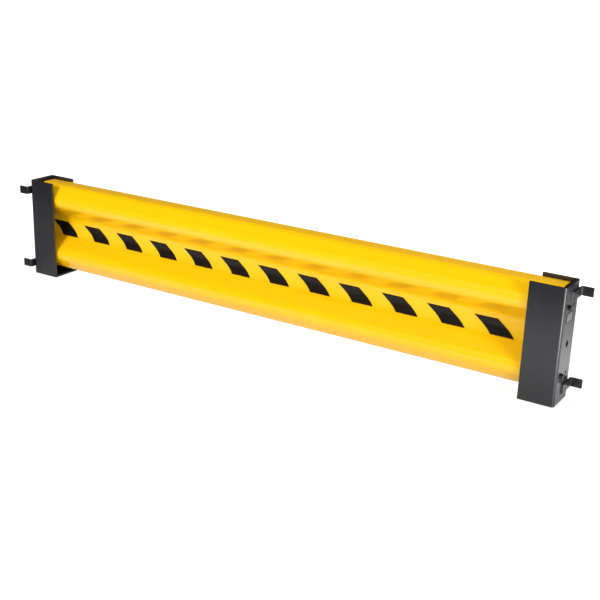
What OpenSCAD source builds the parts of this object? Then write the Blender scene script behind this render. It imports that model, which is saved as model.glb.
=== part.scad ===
// Industrial guard rail: a ribbed steel rail held at both ends in a black channel bracket.
// X runs along the rail, Y from front to rear, Z up. The origin is under the middle, on the floor.
// The two brackets are the same part, one turned half round about Z.

/* [Rail] */
// Length over the outer faces of the two brackets
overall_l = 1830; // [1000:10:3600]
// Height of the ribbed rail
rail_h = 284; // [250:1:300]
// Thickness of the rail's sheet
rail_t = 3; // [2:0.5:4]
// Outer radius of the bends at the rail's top and bottom
rail_edge_r = 21; // [12:1:30]
// Outer radius of the ribs' rounded crests
rib_r = 35; // [22:1:38]
// Outer radius of the two bends beside the valley's flat bottom
valley_r = 36; // [24:1:42]
// Height of the flat strip at the valley's bottom
valley_flat = 16; // [4:1:24]
// Depth of the valley behind the ribs
valley_depth = 62; // [44:1:66]
// Height of each rib's inner slope, between its two bends
rib_slope_h = 29; // [20:1:36]
// Angle of the ribs' outer slopes to the upright
edge_slope = 36; // [20:1:45]

/* [Hazard tape] */
// Height of the tape in the valley
tape_h = 43; // [30:1:48]
// Height of the tape's middle above the middle of the valley
tape_shift = -13; // [-14:1:12]
// Thickness of the tape
tape_t = 0.5; // [0.3:0.1:1]
// Length of a stripe along the rail
stripe_w = 68; // [20:1:80]
// Distance from one stripe to the next
stripe_pitch = 140; // [90:1:200]
// How far a stripe's lower edge leans along the rail
stripe_lean = 54; // [0:1:60]
// Thickness of a stripe's black film
stripe_t = 0.5; // [0.3:0.1:1]
// Shift of the row of stripes from the middle of the rail
stripe_shift = -58; // [-60:1:30]

/* [Brackets] */
// Length of a bracket's flanges along the rail
bracket_w = 98; // [90:1:160]
// Depth of a bracket over its two flanges
bracket_d = 100; // [94:1:120]
// Height of the bracket above the rail's top
head_room = 9; // [0:1:40]
// Thickness of the bracket's plate
bracket_t = 6; // [4:0.5:7]
// Outer radius of the bracket's two bends
bend_r = 8; // [7:0.5:14]
// Thickness of the plate that closes the bracket's bottom
floor_t = 5; // [3:0.5:7]
// Diameter of the fastening hole in the middle of the web
mount_hole_d = 18; // [12:1:26]

/* [Rail supports] */
// Height of the rail's underside above the floor
rail_z = 27; // [26:1:60]
// Gap between the rail and each flange
rail_play = 4; // [0.5:0.5:6]
// Gap between the rail's end and the inside of the web
end_gap = 15; // [10:1:30]
// Length of the seat's level leg under the rail
seat_l = 52; // [40:1:70]
// Height of the seat's upright leg
seat_h = 20; // [14:1:20]
// Thickness of the seat's angle
seat_t = 4; // [3:0.5:6]
// Gap between the seat's ends and the bracket's flanges
seat_gap = 2; // [0.5:0.5:6]
// Height of a clip
clip_h = 22; // [18:1:26]
// Thickness of a clip
clip_t = 4; // [3:0.5:5]
// Length of the clip's leg behind the rib, past the rail's end
clip_grip = 40; // [25:1:70]

/* [Fasteners] */
// Diameter of the bolts that hold the clips to the web
bolt_d = 8; // [6:0.5:10]
// Width of the hexagon across its flats
hex_af = 13; // [12:0.5:15]
// Height of the bolt's head
head_h = 5.5; // [4:0.5:8]
// Height of the nut
nut_h = 6.5; // [5:0.5:10]
// Length of thread that stands past the nut
thread_tail = 3; // [1:0.5:5]
// Outer diameter of the washer
washer_d = 16; // [14:0.5:20]
// Thickness of the washer
washer_t = 1.5; // [1:0.5:3]
// Clearance of a bolt in its holes, on the diameter
hole_play = 1; // [0.5:0.1:1.5]
// Distance of the clip bolts behind the rail's ribs
bolt_inset = 22; // [20:0.5:26]

/* [Hanging straps] */
// Height of the flat bar
strap_h = 25; // [15:1:26]
// Thickness of the flat bar
strap_t = 4; // [3:0.5:6]
// Outer bend radius of the flat bar
strap_r = 6; // [6:0.5:9]
// How far the bar stands out from the web
strap_out = 34; // [20:1:60]
// How far the bar reaches past the bracket's flange
strap_past = 15; // [12:1:40]
// Length of the bar that lies on the web
strap_lap = 50; // [30:1:54]
// Distance of the lower bar's middle from the bracket's bottom
strap_inset = 35; // [20:1:40]
// Leg of the weld beads round the bar
weld_leg = 3; // [1.5:0.5:4]
// Gap between the upper bar's weld bead and the washer below it
strap_gap = 1.5; // [1:0.5:8]

/* [Blank plate] */
// Length of the blank plate on the web
plate_w = 44; // [20:1:50]
// Height of the blank plate
plate_h = 26; // [15:1:40]
// Thickness of the blank plate
plate_t = 0.8; // [0.5:0.1:2]
// Rise from the plate's middle to the bolt above it
plate_rise = 27; // [24:1:60]
// Shift of the plate towards the front
plate_shift = 8; // [-10:1:10]

/* [Hidden] */

yellow = "#f7c512";
black = "#2a2b2e";
film_black = "#1c1917";
silver = "#a9adb3";

arc_steps = 12;
round_fn = 64;
cut_past = 1;

web_x = overall_l / 2;
bracket_h = rail_z + rail_h + head_room;
web_in = web_x - bracket_t;
rail_l = 2 * (web_in - end_gap);
rail_d = bracket_d - 2 * bracket_t - 2 * rail_play;
rail_front = -rail_d / 2;
rail_rear = rail_d / 2;
rail_top = rail_z + rail_h;
rail_mid = rail_z + rail_h / 2;

// The sheet's flat parts would meet in sharp lines, which are the corners of its path.
slope_angle = rib_slope(0, 89, 40);
crest_h = valley_flat / 2 + rib_slope_h + (rib_r + valley_r) * sin(slope_angle);
rib_turn = edge_slope + slope_angle;
rib_point = rail_front + rib_r * (1 - (sin(edge_slope) + sin(slope_angle)) / sin(rib_turn));
rib_rise = crest_h - rib_r * (cos(edge_slope) - cos(slope_angle)) / sin(rib_turn);
valley_point = rail_front + valley_depth;
valley_rise = valley_flat / 2 + valley_r * tan(slope_angle / 2);
edge_point = rail_front - rib_r * (1 / cos(edge_slope) - 1) + (rail_h / 2 - crest_h) * tan(edge_slope);
rail_path = [
    [rail_rear, rail_top],
    [edge_point, rail_top],
    [rib_point, rail_mid + rib_rise],
    [valley_point, rail_mid + valley_rise],
    [valley_point, rail_mid - valley_rise],
    [rib_point, rail_mid - rib_rise],
    [edge_point, rail_z],
    [rail_rear, rail_z]
];
rail_radii = [0, rail_edge_r, rib_r, valley_r, valley_r, rib_r, rail_edge_r, 0];

tape_mid = rail_mid + tape_shift;

// The stripes fill what shows of the rail between the brackets.
stripe_count = round((overall_l - 2 * bracket_w) / stripe_pitch);
first_stripe = stripe_shift - (stripe_count - 1) * stripe_pitch / 2 - (stripe_w + stripe_lean) / 2;

// A clip's leg lies across the hollow of the crest, where its two edges meet the sheet.
rib_hollow_r = (rib_r - rail_t) * cos(rib_turn / 2 / arc_steps);
clip_front = rail_front + rib_r - sqrt(pow(rib_hollow_r, 2) - pow(clip_h / 2, 2));
bolt_y = rail_front + bolt_inset;
clip_r = max(bend_r - bracket_t, clip_t + 1);
clip_top = rail_mid + crest_h;
clip_bottom = rail_mid - crest_h;
clip_end = bolt_y + bolt_inset / 2 + clip_t;
hole_d = bolt_d + hole_play;

strap_top = clip_top + washer_d / 2 + strap_gap + weld_leg + strap_h / 2;
strap_bottom = strap_inset;
strap_edge = bracket_d / 2 + strap_past;

// Angle of the ribs' inner slopes to the upright, such that crest and valley just reach their depths.
function slope_depth(angle) = (rib_r + valley_r) * (1 - cos(angle)) + rib_slope_h * tan(angle);
function rib_slope(low, high, rounds) =
    let (angle = (low + high) / 2)
    rounds == 0
        ? angle
        : slope_depth(angle) > valley_depth
            ? rib_slope(low, angle, rounds - 1)
            : rib_slope(angle, high, rounds - 1);

// Geometry of a sheet that follows a line of sharp corners, each rounded by its own radius.
function unit(v) = v / norm(v);
function left_normal(a, b) = let (d = unit(b - a)) [-d[1], d[0]];
function turn_side(a, p, b) = sign(cross(p - a, b - p));
function reversed(list) = [for (i = [len(list) - 1:-1:0]) list[i]];
function shifted(path, d) = [
    for (i = [0:len(path) - 1])
        let (
            before = i == 0 ? left_normal(path[0], path[1]) : left_normal(path[i - 1], path[i]),
            after = i == len(path) - 1 ? before : left_normal(path[i], path[i + 1])
        )
        path[i] + (before + after) * d / (1 + before * after)
];
function corner_arc(a, p, b, r) =
    let (
        u = unit(a - p),
        v = unit(b - p),
        half = acos(u * v) / 2,
        centre = p + unit(u + v) * r / sin(half),
        from = p + u * r / tan(half) - centre,
        to = p + v * r / tan(half) - centre,
        start = atan2(from[1], from[0]),
        sweep = (atan2(to[1], to[0]) - start + 540) % 360 - 180
    )
    [
        for (i = [0:arc_steps])
            let (turn = start + sweep * i / arc_steps)
            centre + r * [cos(turn), sin(turn)]
    ];
function rounded(path, radii, d) =
    let (q = shifted(path, d), last = len(path) - 1)
    concat(
        [q[0]],
        [
            for (i = [1:last - 1])
                for (point = corner_arc(q[i - 1], q[i], q[i + 1],
                                        radii[i] - turn_side(path[i - 1], path[i], path[i + 1]) * d))
                    point
        ],
        [q[last]]
    );

// Stands a drawing made in depth and height upright, and draws it out evenly along the rail.
module along_rail(length) {
    translate([-length / 2, 0, 0])
        rotate([90, 0, 90])
            linear_extrude(length)
                children();
}

// Layer of the rail's section between two distances behind its outer face.
module rail_layer(outer, inner) {
    polygon(concat(rounded(rail_path, rail_radii, outer), reversed(rounded(rail_path, rail_radii, inner))));
}

// Turns a piece of the right bracket half round, to the left end.
module turned_left() {
    rotate([0, 0, 180])
        children();
}

// Sets a piece that stands behind the rail's rib at the left end.
module mirrored_left() {
    mirror([1, 0, 0])
        children();
}

// Cylinder along X whose near end is at x.
module x_cylinder(x, length, d) {
    translate([x, 0, 0])
        rotate([0, 90, 0])
            cylinder(h = length, d = d, $fn = round_fn);
}

// Hexagonal prism along X whose near end is at x, with two flats upright.
module x_hexagon(x, length) {
    translate([x, 0, 0])
        rotate([0, 90, 0])
            cylinder(h = length, d = hex_af / cos(30), $fn = 6);
}

module rail_beam() {
    color(yellow)
        along_rail(rail_l)
            rail_layer(0, rail_t);
}

module tape_window() {
    translate([-rail_d, tape_mid - tape_h / 2])
        square([2 * rail_d, tape_h]);
}

module hazard_tape() {
    color(yellow)
        along_rail(rail_l)
            intersection() {
                rail_layer(-tape_t, 0);
                tape_window();
            }
}

module stripe_prism(x) {
    low = tape_mid - tape_h / 2;
    high = tape_mid + tape_h / 2;
    translate([0, rail_d, 0])
        rotate([90, 0, 0])
            linear_extrude(2 * rail_d)
                polygon([
                    [x, high],
                    [x + stripe_lean, low],
                    [x + stripe_lean + stripe_w, low],
                    [x + stripe_w, high]
                ]);
}

module tape_stripes() {
    color(film_black)
        intersection() {
            along_rail(rail_l)
                intersection() {
                    rail_layer(-tape_t - stripe_t, -tape_t);
                    tape_window();
                }
            union() {
                for (i = [0:stripe_count - 1])
                    stripe_prism(first_stripe + i * stripe_pitch);
            }
        }
}

// Plan of a bracket: a rectangle whose two outer corners are rounded, ending at the web.
module bent_plan(w, d, r) {
    translate([-w, -d / 2])
        square([w - r, d]);
    translate([-w, r - d / 2])
        square([w, d - 2 * r]);
    for (side = [-1, 1])
        translate([-r, side * (d / 2 - r)])
            circle(r = r, $fn = round_fn);
}

// Channel with two pairs of bolt holes in its web, so that it serves at either end of the rail.
module bracket() {
    color(black)
        difference() {
            translate([web_x, 0, 0])
                linear_extrude(bracket_h)
                    difference() {
                        bent_plan(bracket_w, bracket_d, bend_r);
                        translate([-bracket_t, 0])
                            bent_plan(bracket_w, bracket_d - 2 * bracket_t, bend_r - bracket_t);
                    }
            translate([0, 0, bracket_h / 2])
                x_cylinder(web_in - cut_past, bracket_t + 2 * cut_past, mount_hole_d);
            for (z = [clip_top, clip_bottom], y = [bolt_y, -bolt_y])
                translate([0, y, z])
                    x_cylinder(web_in - cut_past, bracket_t + 2 * cut_past, hole_d);
        }
}

module bottom_plate() {
    color(black)
        translate([web_in, 0, 0])
            linear_extrude(floor_t)
                bent_plan(bracket_w - bracket_t, bracket_d - 2 * bracket_t, bend_r - bracket_t);
}

// Angle under the rail's end: its upright leg lies on the web, clear of the bends.
module rail_seat() {
    seat_w = bracket_d - 2 * bend_r - 2 * seat_gap;
    color(black)
        translate([web_in, seat_w / 2, rail_z])
            rotate([90, 0, 0])
                linear_extrude(seat_w)
                    difference() {
                        translate([-seat_l, -seat_h])
                            square([seat_l, seat_h]);
                        translate([-seat_l - cut_past, -seat_h - cut_past])
                            square([seat_l - seat_t + cut_past, seat_h - seat_t + cut_past]);
                    }
}

// Quarter ring in the first quadrant: the bend of a bar of thickness t with outer radius r.
module bar_bend(r, t) {
    intersection() {
        difference() {
            circle(r = r, $fn = round_fn);
            circle(r = r - t, $fn = round_fn);
        }
        square([r, r]);
    }
}

// Angle clip: one leg is bolted to the web, the other is welded behind the rail's rib.
module clip(z) {
    color(yellow)
        difference() {
            translate([0, 0, z - clip_h / 2])
                linear_extrude(clip_h)
                    union() {
                        translate([web_in - clip_t, clip_front + clip_r])
                            square([clip_t, clip_end - clip_front - clip_r]);
                        translate([web_in - end_gap - clip_grip, clip_front])
                            square([end_gap + clip_grip - clip_r, clip_t]);
                        translate([web_in - clip_r, clip_front + clip_r])
                            rotate([0, 0, -90])
                                bar_bend(clip_r, clip_t);
                    }
            translate([0, bolt_y, z])
                x_cylinder(web_in - clip_t - cut_past, clip_t + 2 * cut_past, hole_d);
        }
}

module clip_bolt(z) {
    shank = washer_t + bracket_t + clip_t + nut_h + thread_tail;
    color(black)
        translate([0, bolt_y, z])
            union() {
                x_hexagon(web_x + washer_t, head_h);
                x_cylinder(web_x + washer_t - shank, shank, bolt_d);
            }
}

module clip_washer(z) {
    color(black)
        translate([0, bolt_y, z])
            difference() {
                x_cylinder(web_x, washer_t, washer_d);
                x_cylinder(web_x - cut_past, washer_t + 2 * cut_past, hole_d);
            }
}

module clip_nut(z) {
    color(black)
        translate([0, bolt_y, z])
            difference() {
                x_hexagon(web_in - clip_t - nut_h, nut_h);
                x_cylinder(web_in - clip_t - nut_h - cut_past, nut_h + 2 * cut_past, bolt_d);
            }
}

// Flat bar folded once: it lies on the web, passes the flange and turns out along the rail's line.
module strap(z) {
    color(black)
        translate([web_x, strap_edge - strap_r, z - strap_h / 2])
            linear_extrude(strap_h)
                union() {
                    translate([0, -strap_past + strap_r - strap_lap])
                        square([strap_t, strap_lap + strap_past - strap_r]);
                    translate([strap_r, strap_r - strap_t])
                        square([strap_out - strap_r, strap_t]);
                    translate([strap_r, 0])
                        rotate([0, 0, 90])
                            bar_bend(strap_r, strap_t);
                }
}

// Weld beads on one bar: one across its end, and one along each of its two edges.
module strap_weld(z) {
    bead_l = strap_lap - bend_r;
    start = bracket_d / 2 - strap_lap;
    translate([web_x, start, z]) {
        translate([0, 0, -strap_h / 2])
            linear_extrude(strap_h)
                polygon([[0, 0], [0, -weld_leg], [weld_leg, 0]]);
        for (side = [-1, 1])
            translate([0, bead_l, side * strap_h / 2])
                rotate([90, 0, 0])
                    linear_extrude(bead_l)
                        polygon([[0, 0], [weld_leg, 0], [0, side * weld_leg]]);
    }
}

module strap_welds() {
    color(black) {
        strap_weld(strap_top);
        strap_weld(strap_bottom);
    }
}

module blank_plate() {
    color(silver)
        translate([web_x, -plate_shift - plate_w / 2, clip_top - plate_rise - plate_h / 2])
            cube([plate_t, plate_w, plate_h]);
}

rail_beam();
hazard_tape();
tape_stripes();
turned_left() bracket();  // left_bracket
bracket();  // right_bracket
turned_left() bottom_plate();  // left_bottom_plate
bottom_plate();  // right_bottom_plate
turned_left() rail_seat();  // left_rail_seat
rail_seat();  // right_rail_seat
mirrored_left() clip(clip_top);  // left_top_clip
mirrored_left() clip(clip_bottom);  // left_bottom_clip
clip(clip_top);  // right_top_clip
clip(clip_bottom);  // right_bottom_clip
mirrored_left() clip_bolt(clip_top);  // left_top_bolt
mirrored_left() clip_bolt(clip_bottom);  // left_bottom_bolt
clip_bolt(clip_top);  // right_top_bolt
clip_bolt(clip_bottom);  // right_bottom_bolt
mirrored_left() clip_washer(clip_top);  // left_top_washer
mirrored_left() clip_washer(clip_bottom);  // left_bottom_washer
clip_washer(clip_top);  // right_top_washer
clip_washer(clip_bottom);  // right_bottom_washer
mirrored_left() clip_nut(clip_top);  // left_top_nut
mirrored_left() clip_nut(clip_bottom);  // left_bottom_nut
clip_nut(clip_top);  // right_top_nut
clip_nut(clip_bottom);  // right_bottom_nut
turned_left() strap(strap_top);  // left_top_strap
turned_left() strap(strap_bottom);  // left_bottom_strap
strap(strap_top);  // right_top_strap
strap(strap_bottom);  // right_bottom_strap
turned_left() strap_welds();  // left_strap_welds
strap_welds();  // right_strap_welds
blank_plate();
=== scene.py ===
# Looks of the guard rail: its pieces, coats and light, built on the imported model's frame.
import math

import bmesh
import bpy
from mathutils import Matrix, Vector


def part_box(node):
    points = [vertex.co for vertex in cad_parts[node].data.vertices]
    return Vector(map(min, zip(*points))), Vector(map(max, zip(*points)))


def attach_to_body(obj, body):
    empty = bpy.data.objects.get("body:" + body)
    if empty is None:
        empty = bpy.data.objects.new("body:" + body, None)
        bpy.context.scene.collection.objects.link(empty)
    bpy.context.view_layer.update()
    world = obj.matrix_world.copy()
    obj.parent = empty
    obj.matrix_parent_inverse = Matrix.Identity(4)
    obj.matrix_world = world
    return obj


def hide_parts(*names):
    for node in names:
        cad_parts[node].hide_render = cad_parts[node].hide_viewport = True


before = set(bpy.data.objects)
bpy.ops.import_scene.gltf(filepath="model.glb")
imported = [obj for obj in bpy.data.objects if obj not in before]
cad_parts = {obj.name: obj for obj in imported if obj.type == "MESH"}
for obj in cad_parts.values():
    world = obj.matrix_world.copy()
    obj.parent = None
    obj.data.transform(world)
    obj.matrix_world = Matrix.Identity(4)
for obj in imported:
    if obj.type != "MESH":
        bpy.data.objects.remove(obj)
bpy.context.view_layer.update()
MM = 0.001

# Sizes of the rail's section, in metres, as the part's source has them.
SHEET = 3 * MM
EDGE_BEND = 21 * MM
RIB_BEND = 35 * MM
VALLEY_BEND = 36 * MM
VALLEY_FLAT = 16 * MM
VALLEY_DEPTH = 62 * MM
SLOPE_RISE = 29 * MM
EDGE_SLOPE = math.radians(36)

# Sizes of the tape.
TAPE_HEIGHT = 43 * MM
TAPE_SHIFT = -13 * MM
TAPE_FILM = 0.5 * MM
STRIPE_WIDTH = 68 * MM
STRIPE_PITCH = 140 * MM
STRIPE_LEAN = 54 * MM
STRIPE_COUNT = 12

# Sizes of the fasteners and the welds.
HEX_WIDTH = 13 * MM
HEAD_HEIGHT = 5.5 * MM
NUT_HEIGHT = 6.5 * MM
BOLT_DIAMETER = 8 * MM
THREAD_PITCH = 1.25 * MM
PLATE_WIDTH = 44 * MM
PLATE_HEIGHT = 26 * MM
PLATE_MIDDLE_Y = -8 * MM
PLATE_MIDDLE_Z = 234.13 * MM
WASHER_DIAMETER = 16 * MM
WASHER_HOLE = 9 * MM
WASHER_THICKNESS = 1.5 * MM
BEAD_RADIUS = 2.4 * MM
BEAD_RIPPLE = 2.2 * MM
BRACKET_BEND = 8 * MM


# Node trees: a value that takes part in sums, and one method that makes any node.

class Value:
    """A node's output. Sums on it add Math nodes to its tree."""

    def __init__(self, tree, socket):
        self.tree = tree
        self.socket = socket

    def joined(self, operation, first, second=None):
        inputs = {0: first} if second is None else {0: first, 1: second}
        return self.tree.node("ShaderNodeMath", {"operation": operation}, inputs).out()

    def __add__(self, other):
        return self.joined("ADD", self, other)

    __radd__ = __add__

    def __sub__(self, other):
        return self.joined("SUBTRACT", self, other)

    def __rsub__(self, other):
        return self.joined("SUBTRACT", other, self)

    def __mul__(self, other):
        return self.joined("MULTIPLY", self, other)

    __rmul__ = __mul__

    def __truediv__(self, other):
        return self.joined("DIVIDE", self, other)

    def __rtruediv__(self, other):
        return self.joined("DIVIDE", other, self)

    def sine(self):
        return self.joined("SINE", self)

    def cosine(self):
        return self.joined("COSINE", self)

    def root(self):
        return self.joined("SQRT", self)

    def size(self):
        return self.joined("ABSOLUTE", self)

    def above(self, limit):
        return self.joined("GREATER_THAN", self, limit)

    def ramp(self, low, high, start=0.0, end=1.0):
        """Rises smoothly from start at low to end at high."""
        settings = {"interpolation_type": "SMOOTHSTEP"}
        inputs = {"Value": self, "From Min": low, "From Max": high, "To Min": start, "To Max": end}
        return self.tree.node("ShaderNodeMapRange", settings, inputs).out("Result")


class Made:
    """A node that has been added to a tree."""

    def __init__(self, tree, node):
        self.tree = tree
        self.node = node

    def out(self, name=0):
        return Value(self.tree, self.node.outputs[name])


class Tree:
    """A node tree of a material, the world or a modifier."""

    def __init__(self, node_tree):
        self.node_tree = node_tree

    def node(self, kind, settings=None, inputs=None):
        node = self.node_tree.nodes.new(kind)
        for name, value in (settings or {}).items():
            if name == "stops":
                self.set_stops(node.color_ramp, value)
            else:
                setattr(node, name, value)
        for name, value in (inputs or {}).items():
            if isinstance(value, Value):
                self.node_tree.links.new(value.socket, node.inputs[name])
            else:
                node.inputs[name].default_value = value
        return Made(self, node)

    @staticmethod
    def set_stops(ramp, stops):
        while len(ramp.elements) < len(stops):
            ramp.elements.new(0.5)
        for element, (place, colour) in zip(ramp.elements, stops):
            element.position = place
            element.color = colour


# Surface nodes that several finishes share.

class Finish(Tree):
    """A material whose shader is a Principled BSDF."""

    def __init__(self, name, base, **fixed):
        self.material = bpy.data.materials.new(name)
        self.material.use_nodes = True
        super().__init__(self.material.node_tree)
        self.node_tree.nodes.clear()
        self.output = self.node("ShaderNodeOutputMaterial").node
        self.shader = self.node("ShaderNodeBsdfPrincipled").node
        self.node_tree.links.new(self.shader.outputs[0], self.output.inputs["Surface"])
        self.shader.inputs["Base Color"].default_value = (*base, 1)
        for socket, value in fixed.items():
            self.shader.inputs[socket.replace("_", " ")].default_value = value
        self.base = base
        self.place = self.node("ShaderNodeTexCoord").out("Object")
        parts = self.node("ShaderNodeSeparateXYZ", None, {0: self.place})
        self.x, self.y, self.z = parts.out("X"), parts.out("Y"), parts.out("Z")

    def feed(self, socket, value):
        self.node_tree.links.new(value.socket, self.shader.inputs[socket])

    def stretched(self, x, y, z):
        """Object coordinates scaled along each axis, for a grain that runs one way."""
        return self.node("ShaderNodeMapping", {"vector_type": "POINT"}, {"Vector": self.place, "Scale": (x, y, z)}).out()

    def noise(self, scale, detail=2.0, roughness=0.5, place=None):
        inputs = {"Vector": place or self.place, "Scale": scale, "Detail": detail, "Roughness": roughness}
        return self.node("ShaderNodeTexNoise", {"noise_dimensions": "3D"}, inputs).out(0)

    def speckle(self, scale, share, place=None):
        """Small spots: 1 inside a spot and 0 outside, on about the given share of the cells."""
        cells = self.node("ShaderNodeTexVoronoi", {"feature": "F1"}, {"Vector": place or self.place, "Scale": scale})
        chance = self.node("ShaderNodeTexWhiteNoise", {"noise_dimensions": "3D"}, {"Vector": cells.out("Position")}).out(0)
        near = cells.out("Distance").ramp(0.30, 0.16)
        return near * chance.above(1 - share)

    def tint(self, factor, low, high):
        """Mixes two colours by a value."""
        mix = self.node("ShaderNodeMix", {"data_type": "RGBA"}, {0: factor, 6: (*low, 1) if len(low) == 3 else low})
        if isinstance(high, Value):
            self.node_tree.links.new(high.socket, mix.node.inputs[7])
        else:
            mix.node.inputs[7].default_value = (*high, 1)
        return mix.out(2)

    def over(self, under, factor, colour):
        """Lays a colour over another, as far as the factor says."""
        mix = self.node("ShaderNodeMix", {"data_type": "RGBA"}, {0: factor, 6: under})
        mix.node.inputs[7].default_value = (*colour, 1)
        return mix.out(2)

    def bump(self, height, distance, strength=1.0, under=None):
        inputs = {"Height": height, "Distance": distance, "Strength": strength}
        if under is not None:
            inputs["Normal"] = under
        return self.node("ShaderNodeBump", None, inputs).out()


def shade(colour, share):
    """A colour made lighter or darker."""
    return tuple(min(1.0, part * share) for part in colour)


def yellow_powder_coat():
    """Glossy yellow powder coat: fine orange peel over a sheet that waves a little."""
    yellow = (0.96, 0.56, 0.003)
    coat = Finish("yellow_powder_coat", yellow, Coat_Roughness=0.05, Coat_IOR=1.55, Specular_IOR_Level=0.3)
    cloud = coat.noise(5, 3)
    grain = coat.noise(900, 2)
    tone = coat.tint(cloud * 0.7 + grain * 0.3, shade(yellow, 0.955), shade(yellow, 1.04))
    nibs = coat.speckle(160, 0.018)
    coat.feed("Base Color", coat.over(tone, nibs * 0.35, (0.60, 0.30, 0.003)))
    coat.feed("Roughness", coat.noise(14, 4) * 0.10 + grain * 0.06 + 0.22)
    coat.feed("Coat Weight", cloud * 0.15 + 0.85)
    waves = coat.bump(coat.noise(7, 1), 0.0008, 0.4)
    peel = coat.bump(coat.noise(420, 2), 0.00002, 0.3, waves)
    coat.feed("Normal", coat.bump(nibs, 0.00006, 0.6, peel))
    return coat.material


def black_powder_coat(name, base, gloss, wave):
    """Glossy black powder coat, with a little dust and a few nibs."""
    coat = Finish(name, base, Coat_Roughness=0.09, Coat_IOR=1.5, Specular_IOR_Level=0.5)
    cloud = coat.noise(9, 4)
    grain = coat.noise(800, 2)
    dust = coat.noise(26, 6, 0.65).ramp(0.55, 0.82)
    tone = coat.tint(cloud, shade(base, 0.8), shade(base, 1.25))
    dusted = coat.over(tone, dust * 0.16, (0.12, 0.115, 0.105))
    nibs = coat.speckle(210, 0.03)
    coat.feed("Base Color", coat.over(dusted, nibs * 0.3, (0.10, 0.10, 0.10)))
    coat.feed("Roughness", cloud * 0.12 + dust * 0.12 + grain * 0.05 + gloss)
    coat.feed("Coat Weight", 0.85 - dust * 0.35)
    waves = coat.bump(coat.noise(16, 1), wave, 0.5)
    peel = coat.bump(coat.noise(360, 2), 0.00006, 0.6, waves)
    coat.feed("Normal", coat.bump(nibs, 0.00008, 0.6, peel))
    return coat.material


def tape_film(name, base, specular):
    """Vinyl film that follows the sheet, a little scuffed, with its edges held down."""
    film = Finish(name, base, Specular_IOR_Level=specular)
    cloud = film.noise(12, 4)
    scuffs = film.noise(1, 4, 0.7, film.stretched(22, 260, 260)).ramp(0.56, 0.80)
    tone = film.tint(cloud, shade(base, 0.94), shade(base, 1.05))
    film.feed("Base Color", film.over(tone, scuffs * 0.10, (0.45, 0.40, 0.30)))
    film.feed("Roughness", cloud * 0.12 + scuffs * 0.18 + 0.26)
    creases = film.bump(film.noise(1, 2, 0.5, film.stretched(18, 70, 70)), 0.0006, 0.35)
    film.feed("Normal", film.bump(film.noise(700, 2), 0.00003, 0.5, creases))
    return film.material


def brushed_plate():
    """Bare metal plate with a brushed grain along its length and a dark rim."""
    silver = (0.62, 0.63, 0.65)
    plate = Finish("brushed_plate", silver, Metallic=1.0)
    grain = plate.noise(1, 4, 0.7, plate.stretched(900, 60, 2600))
    cloud = plate.noise(40, 3)
    bare = plate.tint(cloud * 0.5 + grain * 0.5, shade(silver, 0.82), shade(silver, 1.1))
    side_gap = PLATE_WIDTH / 2 - (plate.y - PLATE_MIDDLE_Y).size()
    end_gap = PLATE_HEIGHT / 2 - (plate.z - PLATE_MIDDLE_Z).size()
    inner = side_gap.joined("MINIMUM", side_gap, end_gap).ramp(1.4 * MM, 2.4 * MM)
    plate.feed("Base Color", plate.tint(inner, (0.02, 0.02, 0.022), bare))
    plate.feed("Roughness", grain * 0.2 + cloud * 0.1 + 0.24)
    plate.feed("Normal", plate.bump(grain, 0.00003, 0.7))
    return plate.material


def studio_floor():
    """Pale floor that the camera sees as white, apart from the object's shadow; glossy rays see a painted reflection
    glow on it, with a bright wedge that paints a highlight on the right bracket's bend.
    """
    floor = Finish("studio_floor", (0.95, 0.95, 0.95), Roughness=0.9, Specular_IOR_Level=0.1)
    rays = floor.node("ShaderNodeLightPath")
    camera_ray = rays.out("Is Camera Ray")
    mirror_ray = camera_ray.joined("MAXIMUM", rays.out("Is Glossy Ray"), rays.out("Is Transmission Ray"))
    mottle = floor.noise(1.7, 4)
    matte = floor.node("ShaderNodeBsdfDiffuse", None, {"Color": floor.tint(mottle, (0.30, 0.30, 0.30), (0.33, 0.33, 0.33))})
    away = (floor.x * floor.x * 0.36 + floor.y * floor.y).root()
    lift = floor.node("ShaderNodeEmission", None, {"Strength": away.ramp(0.6, 1.1, 0.84, 1.1)})
    white = floor.node("ShaderNodeAddShader", None, {0: matte.out(), 1: lift.out()})
    # Painted reflection: for glossy rays only the floor glows, brighter in front of the object, weaker on the left and
    # stronger past the right bracket, which lightens the black brackets and the rail's lower faces.
    front = (0 - floor.y).ramp(0.05, 0.4, 0.42, 0.66) * (0 - floor.y).ramp(0.4, 1.1, 1.0, 0.02)
    glow = front * floor.y.ramp(0.1, 0.9, 1.2, 0.35) * floor.x.ramp(-1.1, -0.75, 0.33, 1.0)
    # Painted highlight: a bright wedge of glow to the right front, which the right bracket's bend shows as a highlight
    # line.
    along = (floor.x - 0.905) * 0.8 - (floor.y + 0.04) * 0.6
    across = (floor.x - 0.905) * 0.6 + (floor.y + 0.04) * 0.8
    painted_highlight_wedge = (across / along).ramp(-0.4, -0.25, 0.0, 1.0) * (across / along).ramp(0.1, 0.25, 1.0, 0.0)
    glow = glow * floor.x.ramp(0.93, 1.0, 1.0, 2.0) + painted_highlight_wedge * along.ramp(0.15, 0.6, 1.0, 7.0)
    mirrored = floor.node("ShaderNodeEmission", None, {"Strength": glow})
    floor.feed("Base Color", floor.tint(mottle, (0.93, 0.93, 0.93), (0.96, 0.96, 0.96)))
    lit = floor.node("ShaderNodeMixShader", None, {0: mirror_ray, 1: Value(floor, floor.shader.outputs[0]), 2: mirrored.out()})
    mixed = floor.node("ShaderNodeMixShader", None, {0: camera_ray, 1: lit.out(), 2: white.out()})
    floor.node_tree.links.new(mixed.out().socket, floor.output.inputs["Surface"])
    return floor.material


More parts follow.
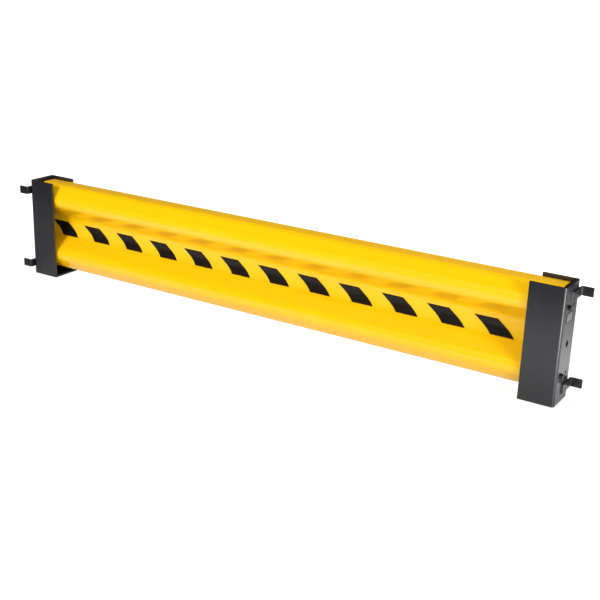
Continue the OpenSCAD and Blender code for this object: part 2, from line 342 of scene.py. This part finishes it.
YELLOW = yellow_powder_coat()
BRACKET_BLACK = black_powder_coat("bracket_black_coat", (0.015, 0.016, 0.020), 0.22, 0.0006)
STRAP_BLACK = black_powder_coat("strap_black_coat", (0.010, 0.010, 0.011), 0.24, 0.0004)
TAPE_YELLOW = tape_film("tape_yellow_film", (0.93, 0.56, 0.012), 0.35)
TAPE_BLACK = tape_film("tape_black_film", (0.010, 0.008, 0.007), 0.35)
BOLT_BLACK = black_powder_coat("bolt_black_coat", (0.012, 0.012, 0.013), 0.30, 0.0002)
SILVER = brushed_plate()


# Geometry Nodes and the finishing of a piece.

class Builder(Tree):
    """A Geometry Nodes tree with named sizes, which ends in one plain mesh with one material."""

    def __init__(self, name, **sizes):
        super().__init__(bpy.data.node_groups.new(name, "GeometryNodeTree"))
        self.sizes = sizes
        face = self.node_tree.interface
        face.new_socket("Shape", in_out="INPUT", socket_type="NodeSocketGeometry")
        face.new_socket("Material", in_out="INPUT", socket_type="NodeSocketMaterial")
        for label, value in sizes.items():
            kind = "NodeSocketInt" if isinstance(value, int) else "NodeSocketFloat"
            face.new_socket(label.replace("_", " "), in_out="INPUT", socket_type=kind)
        face.new_socket("Shape", in_out="OUTPUT", socket_type="NodeSocketGeometry")
        self.given = self.node("NodeGroupInput")
        self.shape = self.given.out("Shape")

    def get(self, label):
        return self.given.out(label.replace("_", " "))

    def vector(self, x=0.0, y=0.0, z=0.0):
        return self.node("ShaderNodeCombineXYZ", None, {"X": x, "Y": y, "Z": z}).out()

    def position(self):
        parts = self.node("ShaderNodeSeparateXYZ", None, {0: self.node("GeometryNodeInputPosition").out()})
        return parts.out("X"), parts.out("Y"), parts.out("Z")

    def finish(self, shape):
        real = self.node("GeometryNodeRealizeInstances", None, {"Geometry": shape}).out()
        coated = self.node("GeometryNodeSetMaterial", None, {"Geometry": real, "Material": self.given.out("Material")})
        self.node("NodeGroupOutput", None, {"Shape": coated.out()})

    def run(self, data, name, material):
        """Runs the tree on a mesh or curve, and gives back a plain mesh object."""
        carrier = bpy.data.objects.new(name + "_carrier", data)
        bpy.context.scene.collection.objects.link(carrier)
        modifier = carrier.modifiers.new("build", "NODES")
        modifier.node_group = self.node_tree
        for item in self.node_tree.interface.items_tree:
            if item.in_out == "INPUT":
                label = item.name.replace(" ", "_")
                if item.name == "Material":
                    modifier[item.identifier] = material
                elif label in self.sizes:
                    modifier[item.identifier] = self.sizes[label]
        return plain(carrier, name)


def plain(thing, name):
    """Turns an object with its modifiers into a plain mesh object, and removes the old one."""
    graph = bpy.context.evaluated_depsgraph_get()
    mesh = bpy.data.meshes.new_from_object(thing.evaluated_get(graph), preserve_all_data_layers=True, depsgraph=graph)
    mesh.name = name
    bpy.data.objects.remove(thing)
    piece = bpy.data.objects.new(name, mesh)
    bpy.context.scene.collection.objects.link(piece)
    return piece


def tidied(piece, flat_angle=None):
    """Merges doubles, joins the triangles of flat faces where asked, and turns all faces outwards."""
    shape = bmesh.new()
    shape.from_mesh(piece.data)
    bmesh.ops.remove_doubles(shape, verts=shape.verts, dist=1e-6)
    if flat_angle:
        bmesh.ops.dissolve_limit(shape, angle_limit=flat_angle, verts=shape.verts, edges=shape.edges)
    bmesh.ops.recalc_face_normals(shape, faces=shape.faces)
    for face in shape.faces:
        face.smooth = True
    shape.to_mesh(piece.data)
    shape.free()
    return piece


def eased(piece, width, segments=2, sheet=0.0, angle=32):
    """Gives a shell its sheet where asked, rounds the edges, and evens out the shading."""
    name = piece.name
    if sheet:
        wall = piece.modifiers.new("sheet", "SOLIDIFY")
        wall.thickness = sheet
        wall.offset = -1
        wall.use_even_offset = True
        wall.use_rim = True
    bevel = piece.modifiers.new("edges", "BEVEL")
    bevel.width = width
    bevel.segments = segments
    bevel.limit_method = "ANGLE"
    bevel.angle_limit = math.radians(angle)
    bevel.use_clamp_overlap = True
    even = piece.modifiers.new("even", "WEIGHTED_NORMAL")
    even.weight = 100
    even.keep_sharp = True
    piece.name = name + "_raw"
    return plain(piece, name)


def attach(piece, slot, *nodes):
    """Hands a finished piece to the frame."""
    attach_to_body(piece, "root")
    if nodes:
        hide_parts(*nodes)
    return piece


def line_curve(name, runs, closed=False):
    """Polylines through given points. A point may carry a radius as its fourth number."""
    curve = bpy.data.curves.new(name, "CURVE")
    curve.dimensions = "3D"
    for run in runs:
        spline = curve.splines.new("POLY")
        spline.points.add(len(run) - 1)
        spline.use_cyclic_u = closed
        for point, place in zip(spline.points, run):
            point.co = (*place[:3], 1)
            point.radius = place[3] if len(place) > 3 else 1.0
    return curve


def softened(node, material, slot, width=0.5 * MM, segments=2):
    """A CAD node's own shape with its edges rounded."""
    piece = bpy.data.objects.new("dressed_" + node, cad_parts[node].data.copy())
    bpy.context.scene.collection.objects.link(piece)
    tidied(piece, 0.01)
    piece.data.materials.clear()
    piece.data.materials.append(material)
    return attach(eased(piece, width, segments), slot, node)


# The rail: its section drawn out along X, then given the sheet's thickness.

rail_low, rail_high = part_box("rail_beam")
RAIL_LENGTH = rail_high.x - rail_low.x
RAIL_MIDDLE = (rail_low.z + rail_high.z) / 2


def slope_angle():
    """Angle of the ribs' inner slopes to the upright, such that crest and valley just reach their depths."""
    low, high = 0.0, math.radians(89)
    for _ in range(40):
        angle = (low + high) / 2
        if (RIB_BEND + VALLEY_BEND) * (1 - math.cos(angle)) + SLOPE_RISE * math.tan(angle) > VALLEY_DEPTH:
            high = angle
        else:
            low = angle
    return angle


def rail_section():
    """Sharp corners of the rail's outer face, from the top's rear edge down, with the bends' radii."""
    left, inner, outer = rail_low.x, slope_angle(), EDGE_SLOPE
    crest = VALLEY_FLAT / 2 + SLOPE_RISE + (RIB_BEND + VALLEY_BEND) * math.sin(inner)
    rib = rail_low.y + RIB_BEND * (1 - (math.sin(outer) + math.sin(inner)) / math.sin(outer + inner))
    rise = crest - RIB_BEND * (math.cos(outer) - math.cos(inner)) / math.sin(outer + inner)
    valley, step = rail_low.y + VALLEY_DEPTH, VALLEY_FLAT / 2 + VALLEY_BEND * math.tan(inner / 2)
    room = rail_high.z - RAIL_MIDDLE - crest
    edge = rail_low.y - RIB_BEND * (1 / math.cos(outer) - 1) + room * math.tan(outer)
    corners = [
        (rail_high.y, rail_high.z, 0), (edge, rail_high.z, EDGE_BEND),
        (rib, RAIL_MIDDLE + rise, RIB_BEND), (valley, RAIL_MIDDLE + step, VALLEY_BEND),
        (valley, RAIL_MIDDLE - step, VALLEY_BEND), (rib, RAIL_MIDDLE - rise, RIB_BEND),
        (edge, rail_low.z, EDGE_BEND),
        (rail_high.y, rail_low.z, 0),
    ]
    return line_curve("rail_section", [[(left, y, z, radius) for y, z, radius in corners]])


def drawn_rail_tree():
    """Rounds each corner of a section by its own radius and draws the section out along X."""
    tree = Builder("drawn_rail", Length=RAIL_LENGTH, Bend_steps=24)
    radius = tree.node("GeometryNodeInputRadius").out()
    inputs = {"Curve": tree.shape, "Count": tree.get("Bend_steps"), "Radius": radius, "Limit Radius": True}
    bent = tree.node("GeometryNodeFilletCurve", {"mode": "POLY"}, inputs).out()
    edge = tree.node("GeometryNodeCurveToMesh", None, {"Curve": bent}).out()
    drawn = {"Mesh": edge, "Offset": tree.vector(tree.get("Length")), "Offset Scale": 1.0}
    tree.finish(tree.node("GeometryNodeExtrudeMesh", {"mode": "EDGES"}, drawn).out("Mesh"))
    return tree


def faces_away(piece, side):
    """Turns an open shell over if most of its faces don't face the given side."""
    lean = sum((face.normal * face.area for face in piece.data.polygons), Vector())
    if lean.dot(side) < 0:
        shape = bmesh.new()
        shape.from_mesh(piece.data)
        bmesh.ops.reverse_faces(shape, faces=shape.faces)
        shape.to_mesh(piece.data)
        shape.free()
    return piece


def build_rail():
    shell = tidied(drawn_rail_tree().run(rail_section(), "rail", YELLOW))
    faces_away(shell, Vector((0, -1, 0)))
    return attach(eased(shell, 0.6 * MM, 3, SHEET), "rail_yellow", "rail_beam")


# The hazard tape: one long film in the valley, and a row of leaning stripes on it.

def tape_tree(count):
    """A row of leaning patches, each laid on the valley's flat bottom and its two bends."""
    tree = Builder(
        "tape_row", Width=STRIPE_WIDTH, Height=TAPE_HEIGHT, Pitch=STRIPE_PITCH, Lean=STRIPE_LEAN,
        Shift=TAPE_SHIFT, Flat=VALLEY_FLAT, Count=count, First=0.0, Film=0.0, Across=4, Along=32,
    )
    grid = {"Size X": tree.get("Width"), "Size Y": tree.get("Height"),
            "Vertices X": tree.get("Across"), "Vertices Y": tree.get("Along")}
    patch = tree.node("GeometryNodeMeshGrid", None, grid).out("Mesh")
    x, y, _ = tree.position()
    leaned = x + tree.get("Width") / 2 + tree.get("Lean") * (0.5 - y / tree.get("Height"))
    rise = y + tree.get("Shift")
    past = rise.joined("MAXIMUM", rise.size() - tree.get("Flat") / 2, 0.0)
    bend = VALLEY_BEND - tree.get("Film")
    hollow = (bend * bend - past * past).root() + (rail_low.y + VALLEY_DEPTH - VALLEY_BEND)
    curved = {"Geometry": patch, "Position": tree.vector(leaned, hollow, rise + RAIL_MIDDLE)}
    bent = tree.node("GeometryNodeSetPosition", None, curved).out()
    row = {"Count": tree.get("Count"), "Start Location": tree.vector(tree.get("First")),
           "Offset": tree.vector(tree.get("Pitch"))}
    line = tree.node("GeometryNodeMeshLine", {"mode": "OFFSET"}, row).out()
    tree.finish(tree.node("GeometryNodeInstanceOnPoints", None, {"Points": line, "Instance": bent}).out())
    return tree


def build_tape():
    empty = bpy.data.meshes.new("tape_start")
    film = tape_tree(1)
    film.sizes.update(Width=RAIL_LENGTH, Lean=0.0, First=rail_low.x, Film=TAPE_FILM)
    shell = tidied(film.run(empty, "tape", TAPE_YELLOW))
    faces_away(shell, Vector((0, -1, 0)))
    attach(eased(shell, 0.12 * MM, 1, TAPE_FILM), "tape_yellow", "hazard_tape")
    stripes = tape_tree(STRIPE_COUNT)
    stripes.sizes.update(First=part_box("tape_stripes")[0].x, Film=2 * TAPE_FILM)
    shell = tidied(stripes.run(bpy.data.meshes.new("stripes_start"), "stripes", TAPE_BLACK))
    faces_away(shell, Vector((0, -1, 0)))
    attach(eased(shell, 0.12 * MM, 1, TAPE_FILM), "tape_black", "tape_stripes")


# The fasteners: one bolt with its washer and nut, set at four places.

def fastener_tree(grip):
    """Hexagon bolt with chamfered head, washer, nut and thread, along -X from the washer's outer face."""
    tree = Builder(
        "fastener", Hex_width=HEX_WIDTH, Head_height=HEAD_HEIGHT, Nut_height=NUT_HEIGHT, Bolt_diameter=BOLT_DIAMETER,
        Thread_pitch=THREAD_PITCH, Washer_diameter=WASHER_DIAMETER, Washer_hole=WASHER_HOLE,
        Washer_thickness=WASHER_THICKNESS, Grip=grip, Tail=3 * MM,
    )

    def upright(sides, radius, depth, start, steps=1):
        """A closed prism that stands on Z from start up."""
        inputs = {"Vertices": sides, "Side Segments": steps, "Radius": radius, "Depth": depth}
        body = tree.node("GeometryNodeMeshCylinder", {"fill_type": "NGON"}, inputs).out("Mesh")
        return moved(body, start + depth / 2)

    def moved(body, height):
        return tree.node("GeometryNodeTransform", None, {"Geometry": body, "Translation": tree.vector(0, 0, height)}).out()

    def cone(low, high, depth, start):
        inputs = {"Vertices": 48, "Radius Bottom": low, "Radius Top": high, "Depth": depth}
        return moved(tree.node("GeometryNodeMeshCone", {"fill_type": "NGON"}, inputs).out("Mesh"), start)

    def cut(body, tool, operation):
        solver = tree.node("GeometryNodeMeshBoolean", {"operation": operation, "solver": "EXACT"})
        links = tree.node_tree.links
        if operation == "DIFFERENCE":
            links.new(body.socket, solver.node.inputs["Mesh 1"])
        else:
            links.new(body.socket, solver.node.inputs["Mesh 2"])
        links.new(tool.socket, solver.node.inputs["Mesh 2"])
        return solver.out("Mesh")

    corner = tree.get("Hex_width") / (2 * math.cos(math.radians(30)))
    flat = tree.get("Hex_width") / 2
    head_h, nut_h, diameter = tree.get("Head_height"), tree.get("Nut_height"), tree.get("Bolt_diameter")
    washer_t, stack = tree.get("Washer_thickness"), tree.get("Grip")

    head = cut(upright(6, corner, head_h, 0.0), cone(flat + head_h * 2.2, flat * 0.93, head_h * 1.0001, 0.0), "INTERSECT")
    blank = upright(6, corner, nut_h, 0 - stack - nut_h - washer_t)
    lower = cone(flat * 0.93, flat + nut_h * 2.2, nut_h * 1.0001, 0 - stack - nut_h - washer_t)
    nut = cut(blank, lower, "INTERSECT")
    nut = cut(nut, upright(40, diameter * 0.46, nut_h * 3, 0 - stack - nut_h * 2 - washer_t), "DIFFERENCE")
    ring = upright(64, tree.get("Washer_diameter") / 2, washer_t, 0 - washer_t)
    ring = cut(ring, upright(48, tree.get("Washer_hole") / 2, washer_t * 3, 0 - washer_t * 2), "DIFFERENCE")

    length = washer_t + stack + nut_h + tree.get("Tail")
    steps = tree.node("FunctionNodeFloatToInt", {"rounding_mode": "ROUND"}, {0: length / tree.get("Thread_pitch") * 4}).out()
    shank = upright(32, diameter / 2, length, 0 - length, steps)
    x, y, z = tree.position()
    turn = x.joined("ARCTAN2", y, x) / (2 * math.pi)
    groove = (z / tree.get("Thread_pitch") + turn).joined("FRACT", z / tree.get("Thread_pitch") + turn)
    share = 1 - (groove - 0.5).size() * 0.26
    threaded = tree.vector(x * share, y * share, z)
    below = z.joined("LESS_THAN", z, 0 - washer_t - stack)
    shank = tree.node("GeometryNodeSetPosition", None, {"Geometry": shank, "Selection": below, "Position": threaded}).out()

    joined = tree.node("GeometryNodeJoinGeometry")
    for part in (head, nut, ring, shank):
        tree.node_tree.links.new(part.socket, joined.node.inputs[0])
    side = tree.node("GeometryNodeInputNamedAttribute", {"data_type": "FLOAT"}, {"Name": "side"}).out("Attribute")
    turned = tree.vector(0, side * (math.pi / 2), 0)
    places = {"Points": tree.shape, "Instance": joined.out(), "Rotation": turned}
    tree.finish(tree.node("GeometryNodeInstanceOnPoints", None, places).out())
    return tree


def build_fasteners():
    nodes, places, sides = [], [], []
    for end, side in (("left", -1), ("right", 1)):
        for level in ("top", "bottom"):
            low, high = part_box(f"{end}_{level}_washer")
            outer = high.x if side > 0 else low.x
            places.append((outer, (low.y + high.y) / 2, (low.z + high.z) / 2))
            sides.append(float(side))
            nodes += [f"{end}_{level}_{part}" for part in ("bolt", "washer", "nut")]
    points = bpy.data.meshes.new("bolt_places")
    points.from_pydata(places, [], [])
    points.attributes.new("side", "FLOAT", "POINT").data.foreach_set("value", sides)
    nut_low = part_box("right_top_nut")[1].x
    grip = places[2][0] - WASHER_THICKNESS - nut_low
    piece = tidied(fastener_tree(grip).run(points, "clip_fasteners", BOLT_BLACK), 0.01)
    attach(eased(piece, 0.25 * MM, 2), "bolt_black", *nodes)


# The weld beads: rippled rods along the straps' edges and the seams behind the rail.

def bead_tree(radius):
    """A bead along each given line, its thickness rippling as a hand-run weld does."""
    tree = Builder("weld_bead", Radius=radius, Ripple=BEAD_RIPPLE, Step=0.45 * MM, Sides=10)
    curve = tree.node("GeometryNodeResampleCurve", {"mode": "LENGTH"}, {"Curve": tree.shape, "Length": tree.get("Step")})
    along = tree.node("GeometryNodeSplineParameter").out("Length")
    wave = (along * (2 * math.pi) / tree.get("Ripple")).sine()
    drift = tree.node("ShaderNodeTexNoise", {"noise_dimensions": "3D"}, {"Scale": 120.0, "Detail": 1.0}).out(0)
    swell = {"Curve": curve.out(), "Radius": 0.92 + wave.size() * 0.16 + (drift - 0.5) * 0.34}
    rippled = tree.node("GeometryNodeSetCurveRadius", None, swell).out()
    ring = tree.node("GeometryNodeCurvePrimitiveCircle", {"mode": "RADIUS"},
                     {"Resolution": tree.get("Sides"), "Radius": tree.get("Radius")}).out("Curve")
    rod = {"Curve": rippled, "Profile Curve": ring, "Fill Caps": True}
    tree.finish(tree.node("GeometryNodeCurveToMesh", None, rod).out())
    return tree


def build_strap_welds():
    for end, side in (("left", -1), ("right", 1)):
        runs = []
        for level in ("top", "bottom"):
            low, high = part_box(f"{end}_{level}_strap")
            web = low.x if side > 0 else high.x
            start = low.y if side > 0 else high.y
            finish = side * (0.050 - BRACKET_BEND)
            runs.append([(web, finish, low.z), (web, start, low.z), (web, start, high.z), (web, finish, high.z)])
        piece = tidied(bead_tree(BEAD_RADIUS).run(line_curve(end + "_strap_beads", runs), end + "_strap_bead", STRAP_BLACK))
        attach(piece, "strap_black", f"{end}_strap_welds")


def build_seam_beads():
    """Beads that hold the seats and bottom plates in the brackets, and the clips behind the ribs."""
    black_runs, yellow_runs = [], []
    for end, side in (("left", -1), ("right", 1)):
        low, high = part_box(f"{end}_rail_seat")
        web = high.x if side > 0 else low.x
        for y in (low.y, high.y):
            black_runs.append([(web, y, low.z + 2 * MM), (web, y, high.z - 2 * MM)])
        low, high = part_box(f"{end}_bottom_plate")
        web = high.x if side > 0 else low.x
        mouth = low.x if side > 0 else high.x
        black_runs.append([(web, low.y + 8 * MM, high.z), (web, high.y - 8 * MM, high.z)])
        for y in (low.y, high.y):
            black_runs.append([(mouth + side * 8 * MM, y, high.z), (web - side * 12 * MM, y, high.z)])
        for level in ("top", "bottom"):
            low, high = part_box(f"{end}_{level}_clip")
            near, far = (low.x, rail_high.x) if side > 0 else (high.x, rail_low.x)
            for z in (low.z, high.z):
                yellow_runs.append([(near + side * 2 * MM, low.y, z), (far - side * 2 * MM, low.y, z)])
    black = tidied(bead_tree(1.8 * MM).run(line_curve("black_seams", black_runs), "bracket_seam_beads", BRACKET_BLACK))
    attach(black, "bracket_black")
    yellow = tidied(bead_tree(1.6 * MM).run(line_curve("yellow_seams", yellow_runs), "clip_seam_beads", YELLOW))
    attach(yellow, "rail_yellow")


build_rail()
build_tape()
build_fasteners()
build_strap_welds()
build_seam_beads()
for end in ("left", "right"):
    softened(end + "_bracket", BRACKET_BLACK, "bracket_black", 0.7 * MM, 3)
    softened(end + "_bottom_plate", BRACKET_BLACK, "bracket_black")
    softened(end + "_rail_seat", BRACKET_BLACK, "bracket_black")
    for level in ("top", "bottom"):
        softened(f"{end}_{level}_clip", YELLOW, "rail_yellow")
        softened(f"{end}_{level}_strap", STRAP_BLACK, "strap_black", 0.6 * MM, 3)
softened("blank_plate", SILVER, "bare_silver", 0.2 * MM)


# The studio: floor, world, lamps and camera.

def build_floor():
    shape = bmesh.new()
    bmesh.ops.create_circle(shape, cap_ends=True, radius=40, segments=96)
    mesh = bpy.data.meshes.new("studio_floor")
    shape.to_mesh(mesh)
    shape.free()
    mesh.materials.append(studio_floor())
    floor = bpy.data.objects.new("studio_floor", mesh)
    bpy.context.scene.collection.objects.link(floor)


def build_world():
    world = bpy.data.worlds.new("studio_world")
    world.use_nodes = True
    world.node_tree.nodes.clear()
    tree = Tree(world.node_tree)
    ways = tree.node("ShaderNodeTexCoord").out("Generated")
    height = tree.node("ShaderNodeSeparateXYZ", None, {0: ways}).out("Z")
    rays = tree.node("ShaderNodeLightPath")
    seen = rays.out("Is Camera Ray")
    mirrored = seen.joined("MAXIMUM", rays.out("Is Glossy Ray"), rays.out("Is Transmission Ray"))
    dim = height.ramp(0.05, 0.5, 0.08, 0.005)
    # Painted highlight: a bright patch in the world that only glossy rays see, which lays a soft highlight line on the
    # rail's ribs.
    painted_highlight_panel = tree.node("ShaderNodeVectorMath", {"operation": "DOT_PRODUCT"}, {0: ways, 1: (-0.27, -0.80, 0.54)}).out("Value")
    strength = seen.joined("MAXIMUM", seen, mirrored * (dim + painted_highlight_panel.ramp(0.975, 0.995, 0.0, 0.30)) + (1 - mirrored) * 0.16)
    white_eye = seen.joined("MAXIMUM", seen, mirrored)
    tint = tree.node("ShaderNodeCombineColor", None, {0: 1.0, 1: 0.64 + white_eye * 0.36, 2: 0.36 + white_eye * 0.64}).out()
    glow = tree.node("ShaderNodeBackground", None, {"Color": tint, "Strength": strength})
    tree.node("ShaderNodeOutputWorld", None, {"Surface": glow.out()})
    bpy.context.scene.world = world


def lamp(name, place, aim, width, depth, power, mirrored=False):
    """A square soft lamp that faces its aim, and shows in glossy surfaces only where asked."""
    light = bpy.data.lights.new(name, "AREA")
    light.shape = "RECTANGLE"
    light.size = width
    light.size_y = depth
    light.energy = power
    body = bpy.data.objects.new(name, light)
    body.location = place
    body.rotation_euler = (Vector(aim) - Vector(place)).to_track_quat("-Z", "Y").to_euler()
    body.visible_glossy = mirrored
    bpy.context.scene.collection.objects.link(body)


def build_camera():
    """Camera at the photograph's viewing angle; it takes the image to be 600 by 600."""
    yaw, pitch, roll = (math.radians(angle) for angle in (-31.820, 19.254, -1.909))
    forward = Vector((math.sin(yaw) * math.cos(pitch), math.cos(yaw) * math.cos(pitch), -math.sin(pitch)))
    level = Vector((math.cos(yaw), -math.sin(yaw), 0))
    down = forward.cross(level)
    right = math.cos(roll) * level + math.sin(roll) * down
    below = -math.sin(roll) * level + math.cos(roll) * down
    camera = bpy.data.objects.new("camera", bpy.data.cameras.new("camera"))
    camera.data.sensor_width = 36
    camera.data.lens = 36 * 1055.1 / 600
    camera.data.clip_end = 200
    turn = Matrix((right, -below, -forward)).transposed()
    camera.matrix_world = Matrix.Translation((1.6506, -2.4707, 1.1221)) @ turn.to_4x4()
    bpy.context.scene.collection.objects.link(camera)
    bpy.context.scene.camera = camera


build_floor()
build_world()
lamp("overhead", (0.0, -0.4, 3.2), (0, 0, 0.1), 3.4, 1.2, 25)
lamp("front", (-1.3, -4.2, 2.5), (0, 0, 0.15), 1.5, 1.5, 138)
lamp("low", (-0.3, -2.8, 0.12), (0, 0, 0.15), 2.6, 0.2, 13)
lamp("right", (5.6, -2.5, 1.35), (0.7, 0, 0.2), 1.5, 1.5, 205)
lamp("rear", (0.2, 3.4, 2.6), (0, 0, 0.2), 3.4, 1.6, 185)
build_camera()
bpy.context.scene.view_settings.view_transform = "Standard"
